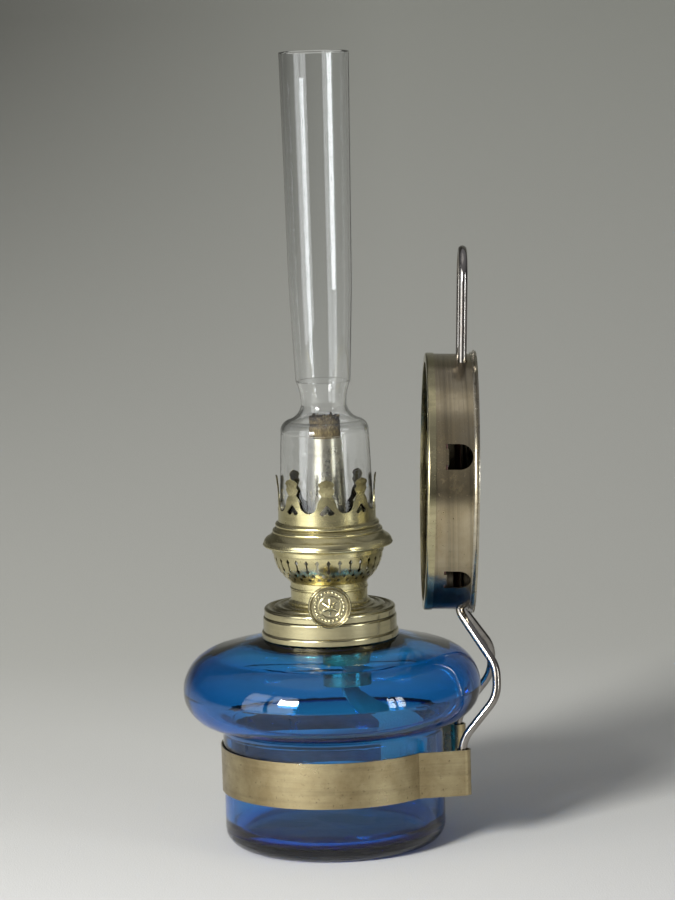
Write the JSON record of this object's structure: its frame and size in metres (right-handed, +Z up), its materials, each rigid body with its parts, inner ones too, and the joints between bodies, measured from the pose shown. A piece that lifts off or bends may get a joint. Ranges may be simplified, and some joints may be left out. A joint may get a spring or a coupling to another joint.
{
  "type": "kerosene wall lamp",
  "caption": "Kerosene table and wall lamp: bulging glass oil font, round-wick burner, tall glass chimney, and a round mirror reflector on a wire hanger.",
  "frame": {"origin": "centre of the font's foot, on the surface that it stands on", "axes": "+Z up along the lamp's axis; +X from the lamp towards its reflector; the wick knob faces -Y"},
  "size_m": [0.1344, 0.1268, 0.3365],
  "materials": {
    "blue_glass": "glossy cobalt-blue blown glass",
    "clear_glass": "thin clear chimney glass",
    "silvered_glass": "silvered glass, slightly foxed",
    "brass": "old brass, satin, tarnished in the grooves",
    "plated_brass": "brass with worn nickel plating, brushed",
    "plated_steel": "plated wire, worn",
    "steel": "drawn steel",
    "cotton": "woven cotton wick, charred at the top",
    "plaster": "matt plaster",
    "card": "brown card"
  },
  "bodies": {
    "font": {"font_glass": "blue_glass", "collar": "plated_brass", "collar_cement": "plaster"},
    "burner": {"thread_ring": "brass", "burner_cap": "plated_brass", "burner_throat": "brass", "wick_case": "brass", "air_basket": "brass", "tube_plate": "brass", "diffuser_plate": "brass", "outer_wick_tube": "plated_brass", "draft_tube": "brass", "shaft_bush": "brass"},
    "raiser": {"wick_shaft": "steel", "raiser_wheels": "brass", "knob": "plated_brass", "knob_rivet": "brass"},
    "wick": {"wick": "cotton"},
    "gallery": {"gallery": "brass", "chimney_seat": "brass"},
    "chimney": {"chimney_glass": "clear_glass"},
    "bracket": {"strap": "plated_brass", "hanger_wire": "plated_steel"},
    "reflector": {"reflector_drum": "plated_brass", "front_bezel": "brass", "reflector_mirror": "silvered_glass", "mirror_backing": "card", "reflector_back": "plated_brass"}
  },
  "joints": [
    {"name": "burner_unscrew", "type": "hinge", "parent": "font", "child": "burner", "pos_m": [0, 0, 0.0987], "axis": [0, 0, 1], "range_deg": [0, 720]},
    {"name": "knob_turn", "type": "hinge", "parent": "burner", "child": "raiser", "pos_m": [0, 0, 0.1067], "axis": [0, -1, 0], "range_deg": [-137, 67]},
    {"name": "wick_raise", "type": "slide", "parent": "burner", "child": "wick", "axis": [0, 0, 1], "range_m": [-0.0101, 0.0049]},
    {"name": "gallery_turn", "type": "hinge", "parent": "burner", "child": "gallery", "pos_m": [0, 0, 0.1274], "axis": [0, 0, 1], "range_deg": [0, 30]},
    {"name": "chimney_lift", "type": "slide", "parent": "gallery", "child": "chimney", "axis": [0, 0, 1], "range_m": [0, 0.06]},
    {"name": "bracket_swivel", "type": "hinge", "parent": "font", "child": "bracket", "pos_m": [0, 0, 0.0339], "axis": [0, 0, 1], "continuous": true},
    {"name": "reflector_slide", "type": "slide", "parent": "bracket", "child": "reflector", "axis": [0.0358, 0, 0.9994], "range_m": [0, 0.025]}
  ],
  "couplings": [
    {"joint": "knob_turn", "follows": "wick_raise", "rad_per_m": 235.29}
  ]
}
